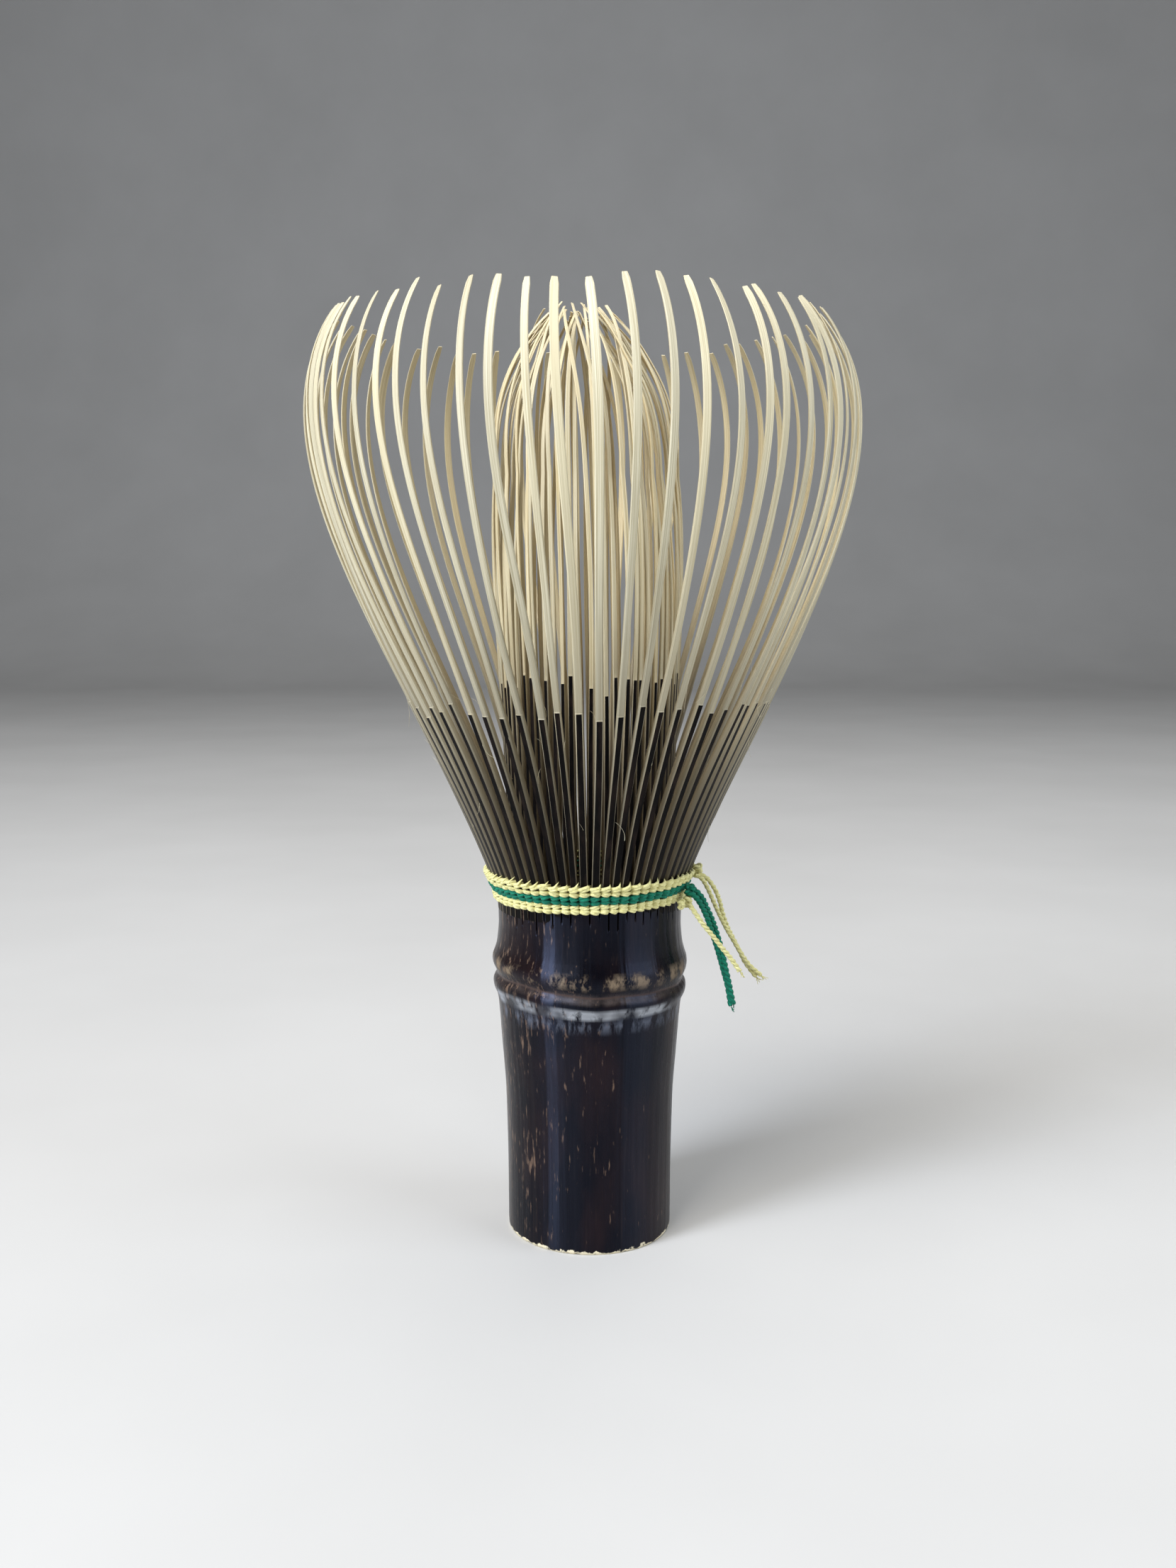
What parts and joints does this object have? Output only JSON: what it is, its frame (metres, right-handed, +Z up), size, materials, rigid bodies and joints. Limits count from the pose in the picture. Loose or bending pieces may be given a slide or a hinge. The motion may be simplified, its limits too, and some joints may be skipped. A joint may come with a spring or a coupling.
{
  "type": "bamboo tea whisk",
  "caption": "Matcha whisk carved from one length of black bamboo: hollow handle, flared outer tines that flex, a bud of inner tines, and a woven thread lashing.",
  "frame": {"origin": "centre of the handle's cut base face", "axes": "+Z up the handle towards the tines, -Y towards the side shown in the picture, +X towards the loose thread ends"},
  "size_m": [0.0642, 0.064, 0.1114],
  "materials": {
    "bamboo_skin": "smoked black bamboo skin, satin to glossy",
    "bamboo_flesh": "bare split bamboo, matt",
    "thread_yellow": "twisted two-ply cotton thread",
    "thread_green": "twisted two-ply cotton thread"
  },
  "bodies": {
    "whisk": {"handle": "bamboo_skin", "inner_tines_01": "bamboo_flesh", "inner_tines_02": "bamboo_flesh", "inner_tines_03": "bamboo_flesh", "inner_tines_04": "bamboo_flesh", "inner_tines_05": "bamboo_flesh", "inner_tines_06": "bamboo_flesh", "inner_tines_07": "bamboo_flesh", "inner_tines_08": "bamboo_flesh", "inner_tines_09": "bamboo_flesh", "inner_tines_10": "bamboo_flesh", "inner_tines_11": "bamboo_flesh", "inner_tines_12": "bamboo_flesh", "inner_tines_13": "bamboo_flesh", "inner_tines_14": "bamboo_flesh", "inner_tines_15": "bamboo_flesh", "inner_tines_16": "bamboo_flesh", "lashing_upper_yellow": "thread_yellow", "lashing_green": "thread_green", "lashing_lower_yellow": "thread_yellow", "knot_upper_yellow": "thread_yellow", "knot_green": "thread_green", "knot_lower_yellow": "thread_yellow", "tail_upper_yellow": "thread_yellow", "tail_green": "thread_green", "tail_lower_yellow": "thread_yellow"},
    "outer_tines_01": {"outer_tines_01": "bamboo_flesh"},
    "outer_tines_02": {"outer_tines_02": "bamboo_flesh"},
    "outer_tines_03": {"outer_tines_03": "bamboo_flesh"},
    "outer_tines_04": {"outer_tines_04": "bamboo_flesh"},
    "outer_tines_05": {"outer_tines_05": "bamboo_flesh"},
    "outer_tines_06": {"outer_tines_06": "bamboo_flesh"},
    "outer_tines_07": {"outer_tines_07": "bamboo_flesh"},
    "outer_tines_08": {"outer_tines_08": "bamboo_flesh"},
    "outer_tines_09": {"outer_tines_09": "bamboo_flesh"},
    "outer_tines_10": {"outer_tines_10": "bamboo_flesh"},
    "outer_tines_11": {"outer_tines_11": "bamboo_flesh"},
    "outer_tines_12": {"outer_tines_12": "bamboo_flesh"},
    "outer_tines_13": {"outer_tines_13": "bamboo_flesh"},
    "outer_tines_14": {"outer_tines_14": "bamboo_flesh"},
    "outer_tines_15": {"outer_tines_15": "bamboo_flesh"},
    "outer_tines_16": {"outer_tines_16": "bamboo_flesh"}
  },
  "joints": [
    {"name": "flex_01", "type": "hinge", "parent": "whisk", "child": "outer_tines_01", "pos_m": [0.00232, -0.01167, 0.04507], "axis": [0.9808, 0.1951, 0], "range_deg": [-3, 6], "stiffness_Nm_per_rad": 0.02},
    {"name": "flex_02", "type": "hinge", "parent": "whisk", "child": "outer_tines_02", "pos_m": [0.00661, -0.0099, 0.04507], "axis": [0.8315, 0.5556, 0], "range_deg": [-3, 6], "stiffness_Nm_per_rad": 0.02},
    {"name": "flex_03", "type": "hinge", "parent": "whisk", "child": "outer_tines_03", "pos_m": [0.0099, -0.00661, 0.04507], "axis": [0.5556, 0.8315, 0], "range_deg": [-3, 6], "stiffness_Nm_per_rad": 0.02},
    {"name": "flex_04", "type": "hinge", "parent": "whisk", "child": "outer_tines_04", "pos_m": [0.01167, -0.00232, 0.04507], "axis": [0.1951, 0.9808, 0], "range_deg": [-3, 6], "stiffness_Nm_per_rad": 0.02},
    {"name": "flex_05", "type": "hinge", "parent": "whisk", "child": "outer_tines_05", "pos_m": [0.01167, 0.00232, 0.04507], "axis": [-0.1951, 0.9808, 0], "range_deg": [-3, 6], "stiffness_Nm_per_rad": 0.02},
    {"name": "flex_06", "type": "hinge", "parent": "whisk", "child": "outer_tines_06", "pos_m": [0.0099, 0.00661, 0.04507], "axis": [-0.5556, 0.8315, 0], "range_deg": [-3, 6], "stiffness_Nm_per_rad": 0.02},
    {"name": "flex_07", "type": "hinge", "parent": "whisk", "child": "outer_tines_07", "pos_m": [0.00661, 0.0099, 0.04507], "axis": [-0.8315, 0.5556, 0], "range_deg": [-3, 6], "stiffness_Nm_per_rad": 0.02},
    {"name": "flex_08", "type": "hinge", "parent": "whisk", "child": "outer_tines_08", "pos_m": [0.00232, 0.01167, 0.04507], "axis": [-0.9808, 0.1951, 0], "range_deg": [-3, 6], "stiffness_Nm_per_rad": 0.02},
    {"name": "flex_09", "type": "hinge", "parent": "whisk", "child": "outer_tines_09", "pos_m": [-0.00232, 0.01167, 0.04507], "axis": [-0.9808, -0.1951, 0], "range_deg": [-3, 6], "stiffness_Nm_per_rad": 0.02},
    {"name": "flex_10", "type": "hinge", "parent": "whisk", "child": "outer_tines_10", "pos_m": [-0.00661, 0.0099, 0.04507], "axis": [-0.8315, -0.5556, 0], "range_deg": [-3, 6], "stiffness_Nm_per_rad": 0.02},
    {"name": "flex_11", "type": "hinge", "parent": "whisk", "child": "outer_tines_11", "pos_m": [-0.0099, 0.00661, 0.04507], "axis": [-0.5556, -0.8315, 0], "range_deg": [-3, 6], "stiffness_Nm_per_rad": 0.02},
    {"name": "flex_12", "type": "hinge", "parent": "whisk", "child": "outer_tines_12", "pos_m": [-0.01167, 0.00232, 0.04507], "axis": [-0.1951, -0.9808, 0], "range_deg": [-3, 6], "stiffness_Nm_per_rad": 0.02},
    {"name": "flex_13", "type": "hinge", "parent": "whisk", "child": "outer_tines_13", "pos_m": [-0.01167, -0.00232, 0.04507], "axis": [0.1951, -0.9808, 0], "range_deg": [-3, 6], "stiffness_Nm_per_rad": 0.02},
    {"name": "flex_14", "type": "hinge", "parent": "whisk", "child": "outer_tines_14", "pos_m": [-0.0099, -0.00661, 0.04507], "axis": [0.5556, -0.8315, 0], "range_deg": [-3, 6], "stiffness_Nm_per_rad": 0.02},
    {"name": "flex_15", "type": "hinge", "parent": "whisk", "child": "outer_tines_15", "pos_m": [-0.00661, -0.0099, 0.04507], "axis": [0.8315, -0.5556, 0], "range_deg": [-3, 6], "stiffness_Nm_per_rad": 0.02},
    {"name": "flex_16", "type": "hinge", "parent": "whisk", "child": "outer_tines_16", "pos_m": [-0.00232, -0.01167, 0.04507], "axis": [0.9808, -0.1951, 0], "range_deg": [-3, 6], "stiffness_Nm_per_rad": 0.02}
  ]
}
